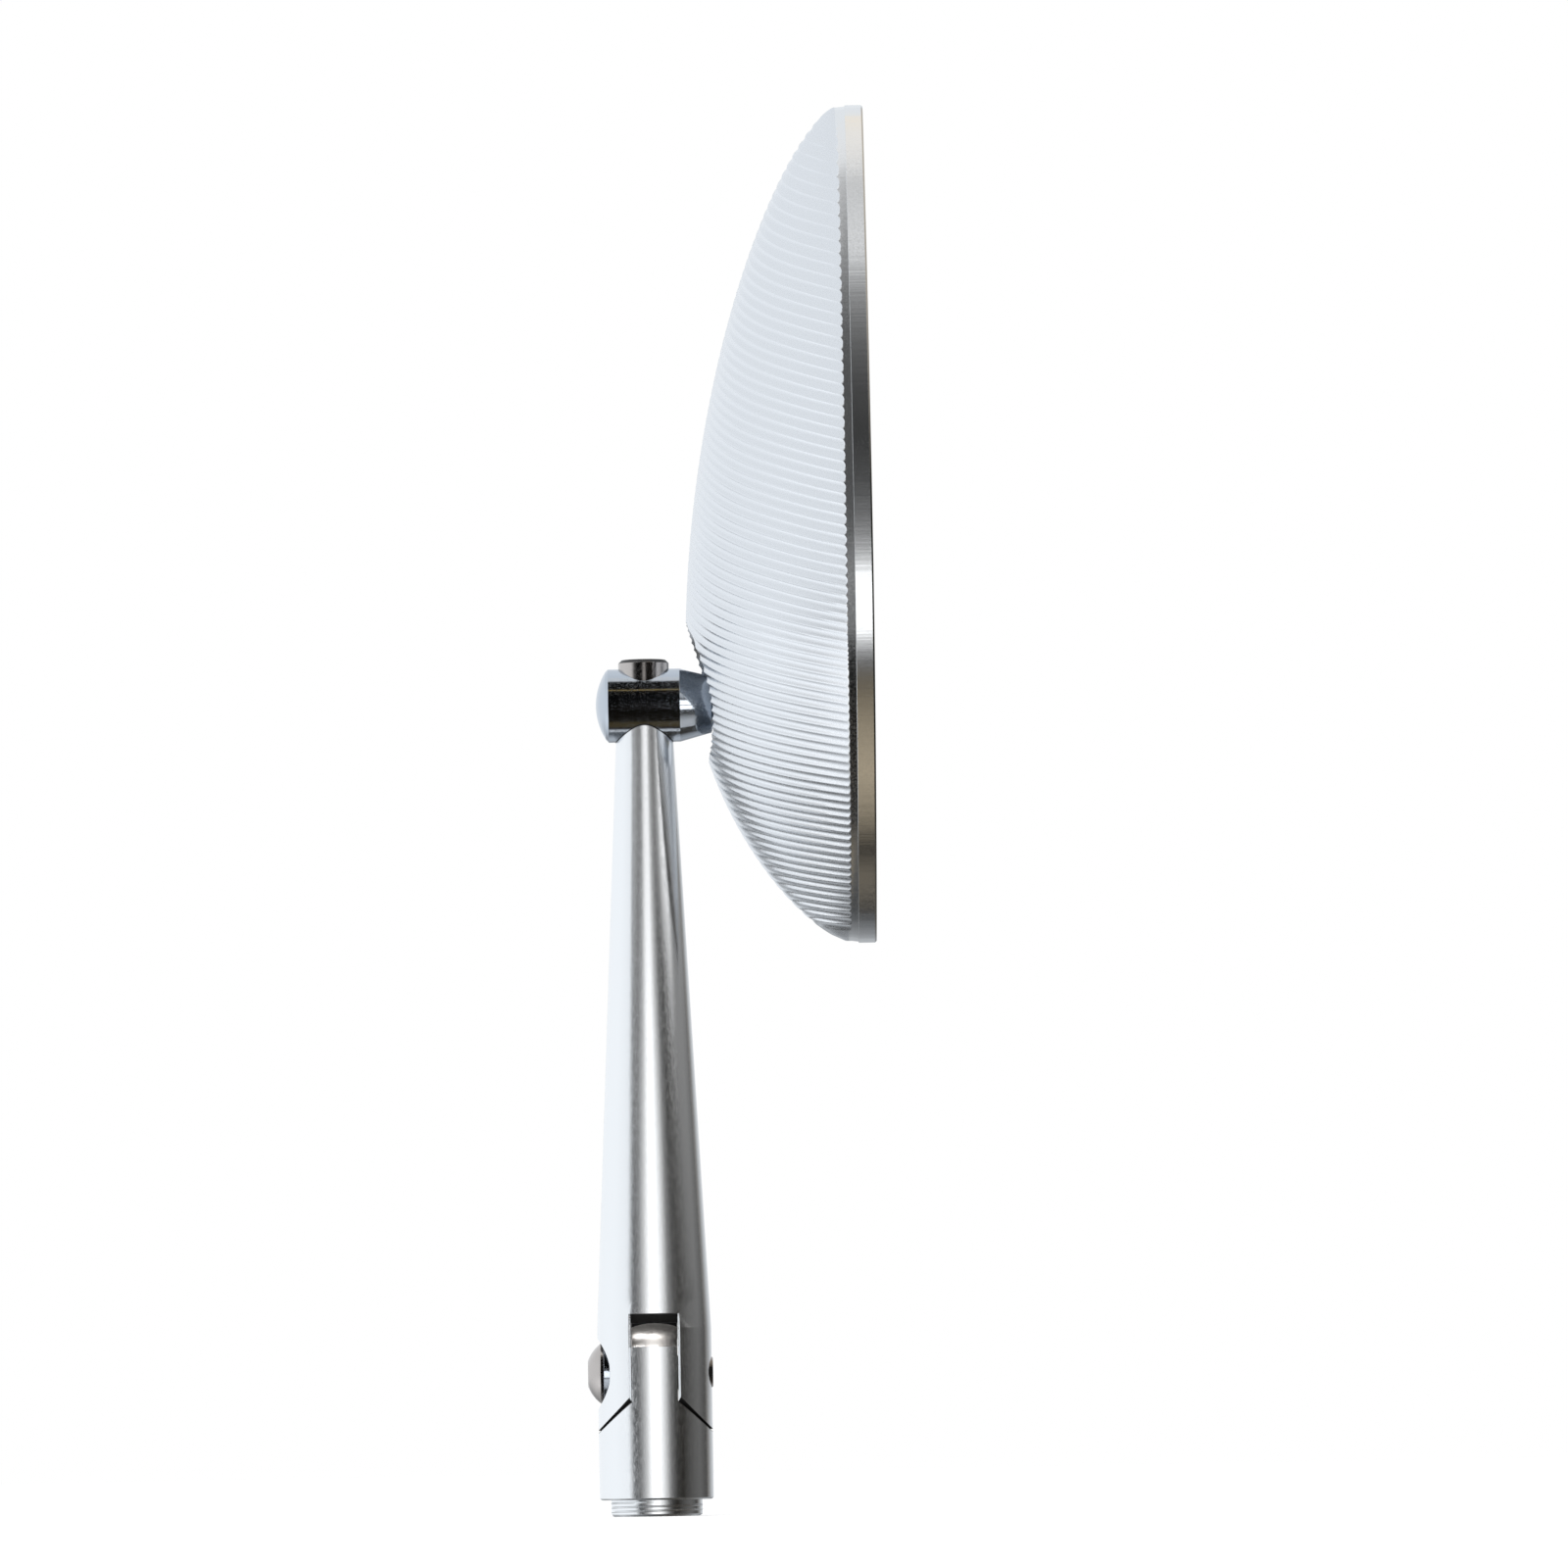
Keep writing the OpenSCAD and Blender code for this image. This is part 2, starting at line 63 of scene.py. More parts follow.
def add_node(tree, kind, sockets=None, **settings):
    """Adds a node; a socket takes a value, or the output that is linked to it."""
    node = tree.nodes.new(kind)
    for name, value in settings.items():
        setattr(node, name, value)
    for name, value in (sockets or {}).items():
        if isinstance(value, bpy.types.NodeSocket):
            tree.links.new(value, node.inputs[name])
        else:
            node.inputs[name].default_value = value
    return node


def new_material(name, build, **options):
    """A node material; build fills its tree and returns the shader that it ends in."""
    material = bpy.data.materials.new(name)
    material.use_nodes = True
    tree = material.node_tree
    tree.nodes.clear()
    shader = build(tree, **options)
    add_node(tree, "ShaderNodeOutputMaterial", {"Surface": shader.outputs[0]})
    return material


def millimetres(tree, scale, turn=(0, 0, 0)):
    """Object coordinates in millimetres, turned, then scaled to repeats per millimetre."""
    place = add_node(tree, "ShaderNodeTexCoord").outputs["Object"]
    turned = add_node(tree, "ShaderNodeMapping", {"Vector": place, "Rotation": turn})
    return add_node(tree, "ShaderNodeMapping", {
        "Vector": turned.outputs[0], "Scale": [s / MM for s in scale]}).outputs[0]


def speckle(tree, scale, detail=2.0, turn=(0, 0, 0)):
    """Noise with so many grains per millimetre along each axis."""
    return add_node(tree, "ShaderNodeTexNoise", {
        "Vector": millimetres(tree, scale, turn), "Scale": 1.0, "Detail": detail}).outputs["Fac"]


def nicks(tree, scale, level):
    """Sparse small dents: the tops of a noise over a level, as a height from 0 to 1."""
    return add_node(tree, "ShaderNodeMapRange", {
        "Value": speckle(tree, scale, 3.0), "From Min": level, "From Max": 0.8}).outputs[0]


def surface(tree, look, layers, grain=None, gloss=(0.0, 0.0), edge_mm=0.0):
    """A shader with uneven roughness and relief.

    Each layer of relief is a height from 0 to 1 and its depth in millimetres. They lie over
    edges that are rounded off by edge_mm. The grain varies the roughness over the range gloss.
    """
    look = dict(look)
    if edge_mm:
        look["Normal"] = add_node(tree, "ShaderNodeBevel", {"Radius": edge_mm * MM}, samples=4).outputs[0]
    for height, depth_mm in layers:
        under = {"Normal": look["Normal"]} if "Normal" in look else {}
        look["Normal"] = add_node(tree, "ShaderNodeBump", {
            "Height": height, "Distance": depth_mm * MM, "Strength": 1.0, **under}).outputs[0]
    if grain is not None:
        look["Roughness"] = add_node(tree, "ShaderNodeMapRange", {
            "Value": grain, "From Min": 0.35, "From Max": 0.65,
            "To Min": gloss[0], "To Max": gloss[1]}).outputs[0]
    return add_node(tree, "ShaderNodeBsdfPrincipled", look)


def region(tree, *limits):
    """1 where every limit holds, else 0.

    A limit is a centre in millimetres, a weight along each axis, and the least and the most
    weighted distance from that centre.
    """
    place = millimetres(tree, (1, 1, 1))
    inside = 1.0
    for centre, weight, least, most in limits:
        offset = add_node(tree, "ShaderNodeVectorMath", {0: place, 1: centre}, operation="SUBTRACT")
        weighted = add_node(tree, "ShaderNodeVectorMath", {
            0: offset.outputs[0], 1: weight}, operation="MULTIPLY")
        distance = add_node(tree, "ShaderNodeVectorMath", {0: weighted.outputs[0]}, operation="LENGTH")
        holds = add_node(tree, "ShaderNodeMath", {
            0: distance.outputs["Value"], 1: (least + most) / 2, 2: (most - least) / 2}, operation="COMPARE")
        inside = add_node(tree, "ShaderNodeMath", {
            0: inside, 1: holds.outputs[0]}, operation="MULTIPLY").outputs[0]
    return inside


def above(z):
    """The limit that keeps a region over a height."""
    return (0, 0, z + FAR), (0, 0, 1), 0, FAR


def below(z):
    """The limit that keeps a region under a height."""
    return (0, 0, z - FAR), (0, 0, 1), 0, FAR


# Centres and weights for limits
FROM_MIDDLE = (0, 0, 0), (1, 0, 0)
FROM_HINGE = (0, 0, HINGE_Z), (0, 1, 1)
FROM_KNUCKLE = (0, 0, BALL_Z), (0, 1 / KNUCKLE_SHARE, 1)


# Turned aluminium: fine rings from the lathe tool draw every reflection out along the axis, and
# tiny nicks in the soft metal make it sparkle. The crown in the slot is only roughed out, and
# near black is painted as shade in the slot, in the seams and round the saddle. Rings and nicks are 0.2 to
# 0.4 mm apart, coarser than the real 0.1 mm, which the picture is too small to show.
def turned_aluminium(tree, greased=(), roughed=()):
    rings = speckle(tree, (0.02, 0.02, 2.5))
    tears = speckle(tree, (3.0, 3.0, 0.8), 3.0)
    tangent = add_node(tree, "ShaderNodeTangent", direction_type="RADIAL", axis="Z").outputs[0]
    dents = nicks(tree, (6.0, 6.0, 4.0), 0.57)
    outside = surface(tree, {
        "Base Color": linear("#eaecee"), "Metallic": 1.0,
        "Anisotropic": 0.8, "Anisotropic Rotation": 0.25, "Tangent": tangent},
        [(rings, 0.003), (tears, 0.004), (dents, 0.007)], tears, (0.13, 0.22), 0.06)
    if roughed:
        rough = surface(tree, {"Base Color": linear("#d8d4d0"), "Metallic": 1.0},
                        [(tears, 0.006)], tears, (0.38, 0.5), 0.8)
        outside = add_node(tree, "ShaderNodeMixShader", {
            0: region(tree, *roughed), 1: outside.outputs[0], 2: rough.outputs[0]})
    if greased:
        # Painted shade: a near black shader mixed in where the slot, the seams and the saddle lie in shade
        grease = surface(tree, {"Base Color": linear("#0c0b0b"), "Roughness": 0.45, "IOR": 1.5},
                         [(tears, 0.02)])
    for limits in greased:
        outside = add_node(tree, "ShaderNodeMixShader", {
            0: region(tree, *limits), 1: outside.outputs[0], 2: grease.outputs[0]})
    return outside


# Billet aluminium, milled with a ball-nosed cutter: satin grooves with faint marks along the cut.
def milled_aluminium(tree):
    cut = speckle(tree, (0.25, 0.25, 5.0), 3.0, (radians(-26), 0, 0))
    grain = speckle(tree, (4.0, 4.0, 4.0))
    return surface(tree, {"Base Color": linear("#dde0e4"), "Metallic": 1.0},
                   [(cut, 0.004), (grain, 0.003)], grain, (0.24, 0.32), 0.08)


# The head's rim, skimmed with a fine end mill and polished: near mirror, with faint lines across it.
def skimmed_aluminium(tree):
    passes = speckle(tree, (0.05, 0.1, 1.3), 4.0)
    grain = speckle(tree, (3.0, 3.0, 3.0))
    return surface(tree, {"Base Color": linear("#e6e8ea"), "Metallic": 1.0},
                   [(passes, 0.012)], grain, (0.1, 0.17), 0.05)


# Hard chrome on a polished steel stud: a cool mirror with small nicks that flash.
def polished_chrome(tree):
    wiped = speckle(tree, (1.2, 0.5, 0.5), 3.0)
    dents = nicks(tree, (6.0, 6.0, 9.0), 0.58)
    return surface(tree, {"Base Color": linear("#b9c1cb"), "Metallic": 1.0},
                   [(wiped, 0.001), (dents, 0.008)], wiped, (0.04, 0.09), 0.08)


# Steel screws, zinc plated and tumbled: a quiet grey with soft gloss. The end that shows past the
# ear is painted near black. The broken edge of the top screw's head is also painted near black, a painted
# reflection of dark surroundings.
def zinc_plated_steel(tree):
    dents = speckle(tree, (2.0, 2.0, 2.0), 3.0)
    outside = surface(tree, {"Base Color": linear("#b9b4b1"), "Metallic": 1.0},
                      [(dents, 0.004)], dents, (0.14, 0.24), 0.15)
    # Painted near black: the end past the ear, and a painted reflection on the head's broken edge
    painted_dark = surface(tree, {"Base Color": linear("#1c1a19"), "Roughness": 0.4, "IOR": 1.5},
                  [(dents, 0.004)], edge_mm=0.15)
    past_ear = ((EAR_OUT_X + FAR, 0, 0), (1, 0, 0), 0, FAR), ((0, 0, HINGE_Z), (0, 0, 1), 0, 0.9)
    head_edge = (((0, 0, HEAD_EDGE_Z), (0, 0, 1), 0, 0.28),)
    for limits in (past_ear, head_edge):
        outside = add_node(tree, "ShaderNodeMixShader", {
            0: region(tree, *limits), 1: outside.outputs[0], 2: painted_dark.outputs[0]})
    return outside


# Alloy steel screws, blackened in oil: near black with a dull oily gloss.
def blackened_steel(tree):
    grain = speckle(tree, (3.0, 3.0, 3.0))
    return surface(tree, {"Base Color": linear("#2b2b2d"), "Metallic": 1.0},
                   [(grain, 0.004)], grain, (0.32, 0.48))


# Nylon, moulded: a milky, waxy off-white.
def moulded_nylon(tree):
    orange_peel = speckle(tree, (1.2, 1.2, 1.2))
    return surface(tree, {
        "Base Color": linear("#e8e3d6"), "IOR": 1.53, "Subsurface Weight": 0.1, "Subsurface Scale": 0.5 * MM},
        [(orange_peel, 0.01)], orange_peel, (0.35, 0.5))


# Polyethylene foam tape, cut to size: matt dark grey with open cells.
def foam_tape(tree):
    cells = add_node(tree, "ShaderNodeTexVoronoi", {
        "Vector": millimetres(tree, (3.0, 3.0, 3.0)), "Scale": 1.0}).outputs["Distance"]
    return surface(tree, {"Base Color": linear("#2e2e2e"), "Roughness": 0.95, "IOR": 1.5}, [(cells, 0.1)])


# Float glass, silvered on the back: a clear mirror face and sea-green ground edges.
def silvered_glass(tree):
    facing = add_node(tree, "ShaderNodeSeparateXYZ", {
        "Vector": add_node(tree, "ShaderNodeTexCoord").outputs["Normal"]}).outputs["X"]
    on_face = add_node(tree, "ShaderNodeMath", {0: facing, 1: 0.9}, operation="GREATER_THAN").outputs[0]
    colour = add_node(tree, "ShaderNodeMix", {
        "Factor": on_face, "A": linear("#8fb0a4"), "B": linear("#e2e8ea")}, data_type="RGBA")
    edge_gloss = add_node(tree, "ShaderNodeMapRange", {
        "Value": speckle(tree, (6.0, 6.0, 6.0)), "From Min": 0.35, "From Max": 0.65,
        "To Min": 0.25, "To Max": 0.4})
    gloss = add_node(tree, "ShaderNodeMix", {"Factor": on_face, "A": edge_gloss.outputs[0], "B": 0.015})
    return add_node(tree, "ShaderNodeBsdfPrincipled", {
        "Base Color": colour.outputs["Result"], "Metallic": on_face,
        "Roughness": gloss.outputs["Result"], "Coat Weight": 0.3, "Coat Roughness": 0.01})


TURNED = new_material("turned_aluminium", turned_aluminium)
# Painted shade, near black, in the slot, on the rims of the ears and round the saddle
FORK = new_material("turned_aluminium_with_greased_slot", turned_aluminium, greased=[
    [(*FROM_MIDDLE, 0, SLOT_W / 2 + 0.03), below(SLOT_ROOF + 0.03)],
    [(*FROM_HINGE, EAR_R - 0.1, FAR), below(HINGE_Z - 3)],
    [(*FROM_KNUCKLE, 0, KNUCKLE_R + 0.18)]])
# Painted shade, near black, on the base's two seats for the ears, along the seams
TONGUE = new_material("turned_aluminium_with_roughed_crown", turned_aluminium, greased=[
    [(*FROM_HINGE, 0, EAR_R + SEAT_GAP + 0.1), (*FROM_MIDDLE, SLOT_W / 2 - 0.02, FAR)]],
    roughed=[above(TONGUE_EDGE + 0.02)])
MILLED = new_material("milled_aluminium", milled_aluminium)
RIM = new_material("skimmed_aluminium", skimmed_aluminium)
CHROME = new_material("polished_chrome", polished_chrome)
ZINC = new_material("zinc_plated_steel", zinc_plated_steel)
BLACKENED = new_material("blackened_steel", blackened_steel)
NYLON = new_material("moulded_nylon", moulded_nylon)
FOAM = new_material("foam_tape", foam_tape)
MIRROR = new_material("silvered_glass", silvered_glass)

NODE_MATERIALS = {
    "base": TONGUE, "stem": FORK, "socket_cap": TURNED,
    "pivot_screw": ZINC, "pivot_washer": CHROME, "knuckle_screw": ZINC,
    "ball_stud": CHROME, "rear_cup": NYLON, "front_cup": NYLON,
    "cap_screws": BLACKENED, "glass_pad": FOAM, "mirror_glass": MIRROR,
}
for node_name, material in NODE_MATERIALS.items():
    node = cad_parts[node_name]
    node.data.materials.clear()
    node.data.materials.append(material)


def object_from(name, points, faces):
    """A mesh object from points in millimetres."""
    mesh = bpy.data.meshes.new(name)
    mesh.from_pydata([[c * MM for c in p] for p in points], [], faces)
    shape = bmesh.new()
    shape.from_mesh(mesh)
    bmesh.ops.recalc_face_normals(shape, faces=shape.faces)
    shape.to_mesh(mesh)
    shape.free()
    piece = bpy.data.objects.new(name, mesh)
    bpy.context.scene.collection.objects.link(piece)
    return piece


def shade(piece, sharp_angle):
    """Smooth shading, with edges where faces meet sharply."""
    piece.data.polygons.foreach_set("use_smooth", [True] * len(piece.data.polygons))
    piece.data.set_sharp_from_angle(angle=radians(sharp_angle))


# The head, by the same named values as its solid, in millimetres from the ball's height
BALL_X = 22.0
HEAD_W, WIDE_UP, LOBE_UP, LOBE_DOWN = 70.0, 18.6, 86.9, 61.0
APEX_UP, APEX_X, DOME_X, FRONT_X = 10.3, 7.5, 35.3, 40.2
BAND_L, BAND_RISE, RIM_PROUD, TIP_PROUD, RIM_CHAMFER, LIP_L = 1.7, 0.15, 0.7, 0.35, 0.3, 0.02
RIB_PITCH, RIB_DEPTH, RIB_ANGLE, GROOVE_SHARE = 1.55, 0.3, 26.0, 0.88
PLAN_CURVE, RIDGE_CURVE, DOME_CURVE = (1.8, 0.87), (1.8, 0.7), (2.33, 1.0)
TIP_MARGIN, SLOPE_STEP, MAX_STEEPNESS = 0.12, 0.2, 2.4
RIM_W, TIP_RATIO = 1.8, 1.5
PAD_X, POCKET_R, POCKET_UP, POCKET_X = 37.1, 12.3, 2.2, 14.5
MOUTH_R, SEAT_R, BOSS_R, BOSS_X = 6.2, 8.45, 15.5, 31.0
TERRACES = [(5, 5, 13), (10, 10, 26), (16, 16, 40)]


def lobe(u, curve):
    return np.clip(1 - np.abs(u) ** curve[0], 0, None) ** curve[1]


def lobe_l(s, tip_in):
    return np.where(s < 0, LOBE_DOWN, LOBE_UP) - tip_in


def u_of(z, tip_in):
    return (z - WIDE_UP) / lobe_l(z - WIDE_UP, tip_in)


def half_w(u, side_in):
    return (HEAD_W / 2 - side_in) * lobe(u, PLAN_CURVE)


def dome_w(z):
    return half_w(u_of(z, TIP_PROUD), RIM_PROUD)


def height(y, z):
    """Height of the dome over its rim plane."""
    s = z - APEX_UP
    end = WIDE_UP + np.sign(s) * lobe_l(s, TIP_PROUD)
    ridge = (DOME_X - APEX_X) * lobe(s / (end - APEX_UP), RIDGE_CURVE)
    return ridge * lobe(np.minimum(1, y / np.maximum(dome_w(z), 0.001)), DOME_CURVE)


def steepness(y, z):
    """How much deeper a groove is along X than square to the dome."""
    h = height(y, z)
    across = height(y + np.where(y < 0, SLOPE_STEP, -SLOPE_STEP), z) - h
    along = height(y, z + np.where(z < APEX_UP, SLOPE_STEP, -SLOPE_STEP)) - h
    return np.minimum(MAX_STEEPNESS, np.sqrt(1 + (across ** 2 + along ** 2) / SLOPE_STEP ** 2))


def rib_ends(z0, side):
    """Where the rows that cross the middle at z0 run out on a side, by halving the interval."""
    low, high = np.zeros_like(z0), np.full_like(z0, HEAD_W / 2)
    for _ in range(30):
        middle = (low + high) / 2
        inside = middle < dome_w(z0 + side * middle * tan(radians(RIB_ANGLE)))
        low, high = np.where(inside, middle, low), np.where(inside, high, middle)
    return (low + high) / 2


def shell_outside():
    """The ribbed dome and the rim, closed off flat in front: rows along the ribs, then the rim's rings."""
    pitch = RIB_PITCH / cos(radians(RIB_ANGLE))
    low, high = WIDE_UP - LOBE_DOWN + TIP_PROUD, WIDE_UP + LOBE_UP - TIP_PROUD
    inner = int((high - low - pitch / 2) / pitch) * 2 - 1
    start = (low + high) / 2 - pitch / 2 * (inner - 1) / 2
    across_rib = [0.0, 0.06, 0.17, 0.33, 0.5, 0.67, 0.83, 0.94]
    z0 = [start + pitch * (j + q - 0.5) for j in range((inner + 1) // 2 + 1) for q in across_rib]
    z0 = [low + TIP_MARGIN] + [z for z in z0 if low + 0.2 < z < high - 0.2] + [high - TIP_MARGIN]
    z0 = np.array(z0)
    phase = ((z0 - start) / pitch + 0.5) % 1
    # A cutter's round groove with a narrow land left at the crest; the grooves run out at the tips
    land = 1 - GROOVE_SHARE ** 2
    depth = RIB_DEPTH * np.clip((1 - (2 * phase - 1) ** 2) / land - 1, 0, None) * land / GROOVE_SHARE ** 2
    depth *= np.clip((z0 - low - 2.5) / 2, 0, 1) * np.clip((high - 1.5 - z0) / 2, 0, 1)
    stations = 56
    near, far = -rib_ends(z0, -1), rib_ends(z0, 1)
    along = np.cos(np.pi * np.arange(stations + 1) / stations)
    y = ((near + far) / 2)[:, None] - ((far - near) / 2)[:, None] * along[None, :]
    z = z0[:, None] + y * tan(radians(RIB_ANGLE))
    rise = height(y, z)
    rise[:, 0] = rise[:, -1] = 0
    # Shallower at the rim, along the ridge, on the flank beside the ball and towards the upper tip
    rim = np.clip(np.abs(along) * 12 - 11, 0, 1)
    ridge = np.clip(1 - np.abs(along) * 2, 0, 1)
    flank = np.clip(np.abs(along) * 2 - 0.6, 0, 1)
    share = (1 - 0.3 * rim[None, :] - ridge[None, :] * np.interp(z0, [-30, 0], [0.1, 0.5])[:, None]
             - flank[None, :] * np.interp(z0, [-15, 0, 22, 35], [0, 0.4, 0.4, 0])[:, None])
    depth *= np.interp(z0, [10, 50], [1, 0.85])
    x = DOME_X - rise + depth[:, None] * steepness(y, z) * share
    rows, per_row = x.shape
    index = np.arange(rows * per_row).reshape(rows, per_row)
    for end, side in ((0, -1), (-1, 1)):
        y[:, end] = side * half_w(u_of(z[:, end], TIP_PROUD), RIM_PROUD - BAND_RISE * (x[:, end] - DOME_X))
    points = [np.stack([x, y, z], -1).reshape(-1, 3)]
    faces = np.stack([index[:-1, :-1], index[:-1, 1:], index[1:, 1:], index[1:, :-1]], -1)
    faces = faces.reshape(-1, 4).tolist()
    faces += [index[0].tolist(), index[-1, ::-1].tolist()]
    loop = np.concatenate([index[:, 0], index[::-1, -1]])
    end_y = np.concatenate([y[:, 0], y[::-1, -1]])
    end_u = u_of(np.concatenate([z[:, 0], z[::-1, -1]]), TIP_PROUD)
    rings = [
        (DOME_X + 0.5, RIM_PROUD - BAND_RISE * 0.5, TIP_PROUD),
        (DOME_X + BAND_L, RIM_PROUD - BAND_RISE * BAND_L, TIP_PROUD * 0.6),
        (DOME_X + BAND_L + LIP_L, 0, 0),
        (FRONT_X - RIM_CHAMFER, 0, 0),
        (FRONT_X, RIM_CHAMFER, RIM_CHAMFER),
    ]
    dome_faces = len(faces)
    count = rows * per_row
    for ring_x, side_in, tip_in in rings:
        ring = np.stack([
            np.full_like(end_u, ring_x),
            np.sign(end_y) * half_w(end_u, side_in),
            WIDE_UP + end_u * lobe_l(end_u, tip_in)], -1)
        points.append(ring)
        outer = np.arange(count, count + len(loop))
        count += len(loop)
        faces += np.stack([loop, outer, np.roll(outer, -1), np.roll(loop, -1)], -1).tolist()
        loop = outer
    faces.append(loop.tolist())
    piece = object_from("billet_shell", lift(np.concatenate(points)), faces)
    piece.data.materials.append(MILLED)
    piece.data.materials.append(RIM)
    piece.data.polygons.foreach_set("material_index", [int(i >= dome_faces) for i in range(len(faces))])
    return piece


def lift(points):
    """Moves points from the ball's height to their place over the base."""
    return np.asarray(points, float) + (0, 0, BALL_Z)


def lathe(name, profile, up=0.0, n=160):
    """A turned solid about an X axis at height up over the ball, from (x, radius) points."""
    points, faces = [], []
    for x, r in profile:
        if r == 0:
            points.append((x, 0, up))
        else:
            points += [(x, r * cos(2 * pi * i / n), up + r * sin(2 * pi * i / n)) for i in range(n)]
    first = 0
    for ra, rb in zip([r for x, r in profile], [r for x, r in profile[1:]]):
        a = [first] * n if ra == 0 else list(range(first, first + n))
        first += 1 if ra == 0 else n
        b = [first] * n if rb == 0 else list(range(first, first + n))
        for i in range(n):
            corners = [a[i], a[(i + 1) % n], b[(i + 1) % n], b[i]]
            faces.append(list(dict.fromkeys(corners)))
    return object_from(name, lift(points), faces)


def outline_plate(name, x_from, x_to, side_in, tip_in, n=512):
    """A plate of the head's outline, inset at the sides and at the tips."""
    angle = 2 * np.pi * np.arange(n) / n
    u = np.cos(angle)
    y = np.where(angle < np.pi, 1, -1) * half_w(u, side_in)
    z = WIDE_UP + u * lobe_l(u, tip_in)
    back = np.stack([np.full(n, x_from), y, z], -1)
    front = np.stack([np.full(n, x_to), y, z], -1)
    sides = [[i, (i + 1) % n, n + (i + 1) % n, n + i] for i in range(n)]
    ends = [list(range(n))[::-1], list(range(n, 2 * n))]
    return object_from(name, lift(np.concatenate([back, front])), ends + sides)


def combine(piece, other, operation):
    """Cuts another solid out of the piece, or joins it, and removes the other."""
    modifier = piece.modifiers.new("cut", "BOOLEAN")
    modifier.operation, modifier.object, modifier.solver = operation, other, "MANIFOLD"
    bpy.context.view_layer.objects.active = piece
    bpy.ops.object.modifier_apply(modifier=modifier.name)
    bpy.data.objects.remove(other)


shell = shell_outside()
for setback, side_in, tip_in in TERRACES:
    combine(shell, outline_plate("terrace", PAD_X - setback, FRONT_X + 1, side_in, tip_in), "DIFFERENCE")
combine(shell, lathe("boss", [(18, 0), (18, BOSS_R), (BOSS_X, BOSS_R), (BOSS_X, 0)]), "UNION")
combine(shell, outline_plate("recess", PAD_X, FRONT_X + 1, RIM_W, RIM_W * TIP_RATIO), "DIFFERENCE")
mouth_back = (SEAT_R ** 2 - MOUTH_R ** 2) ** 0.5
behind = [mouth_back * (1 - k / 24) for k in range(25)]
seat = [(BALL_X - x, (SEAT_R ** 2 - x ** 2) ** 0.5) for x in behind]
socket = [(0, 0), (0, MOUTH_R)] + seat + [(BOSS_X + 1, SEAT_R), (BOSS_X + 1, 0)]
combine(shell, lathe("socket", socket), "DIFFERENCE")
pocket = [(0, 0), (0, POCKET_R), (POCKET_X - 0.6, POCKET_R), (POCKET_X - 0.18, POCKET_R - 0.18),
          (POCKET_X, POCKET_R - 0.6), (POCKET_X, 0)]
combine(shell, lathe("pocket", pocket, POCKET_UP), "DIFFERENCE")
shade(shell, 28)
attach(shell, "head")
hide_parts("shell")


# Fine thread on the spigot, cut with a single-point tool
def spigot_thread():
    """A helical ridge of triangular section round the spigot."""
    pitch, low, high, root_r, crest_r = 0.75, -2.45, -0.35, 7.96, 8.1
    per_turn = 120
    steps = int((high - low) / pitch * per_turn)
    points, faces = [], []
    for i in range(steps + 1):
        angle = 2 * pi * i / per_turn
        z = low + pitch * i / per_turn
        grow = min(1, i / 20, (steps - i) / 20)
        for r, dz in ((root_r, -0.22), (root_r + (crest_r - root_r) * grow, -0.04),
                      (root_r + (crest_r - root_r) * grow, 0.04), (root_r, 0.22), (root_r - 0.1, 0)):
            points.append((r * cos(angle), r * sin(angle), z + dz))
    for i in range(steps):
        for k in range(5):
            a, b = 5 * i + k, 5 * i + (k + 1) % 5
            faces.append((a, b, b + 5, a + 5))
    faces += [(4, 3, 2, 1, 0), tuple(5 * steps + k for k in range(5))]
    return object_from("spigot_thread", points, faces)


thread = spigot_thread()
thread.data.materials.append(TURNED)
shade(thread, 30)
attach(thread, "base")


def box(name, low, high):
    """A plate between two corners, with its long edges broken."""
    points = [(x, y, z) for x in (low[0], high[0]) for y in (low[1], high[1]) for z in (low[2], high[2])]
    faces = [(0, 1, 3, 2), (4, 6, 7, 5), (0, 4, 5, 1), (2, 3, 7, 6), (0, 2, 6, 4), (1, 5, 7, 3)]
    plate = object_from(name, points, faces)
    breaks = plate.modifiers.new("broken_edges", "BEVEL")
    breaks.width, breaks.segments = 0.08 * MM, 2
    return plate


# A blackened plate stands behind the crown as painted shade, so that nothing shines through the slot
PAINTED_SHADE_PLATE = (-4.06, 3.0, 28.0), (4.06, 3.8, 30.95)
painted_shade_plate = box("painted_shade_plate", *PAINTED_SHADE_PLATE)
painted_shade_plate.data.materials.append(BLACKENED)
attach(painted_shade_plate, "base")


# Studio: a pale floor, a white background, soft lamps, and a surround that only reflections see
def white_world():
    """White where the camera, metal and glass see it, plain soft light for the rest."""
    world = bpy.data.worlds.new("studio")
    bpy.context.scene.world = world
    world.use_nodes = True
    tree = world.node_tree
    tree.nodes.clear()
    path = add_node(tree, "ShaderNodeLightPath").outputs
    seen = path["Is Camera Ray"]
    for other in ("Is Glossy Ray", "Is Transmission Ray"):
        seen = add_node(tree, "ShaderNodeMath", {0: seen, 1: path[other]}, operation="MAXIMUM").outputs[0]
    strength = add_node(tree, "ShaderNodeMapRange", {"Value": seen, "To Min": 0.75, "To Max": 1.0})
    background = add_node(tree, "ShaderNodeBackground", {
        "Color": linear("#ffffff"), "Strength": strength.outputs[0]})
    add_node(tree, "ShaderNodeOutputWorld", {"Surface": background.outputs[0]})


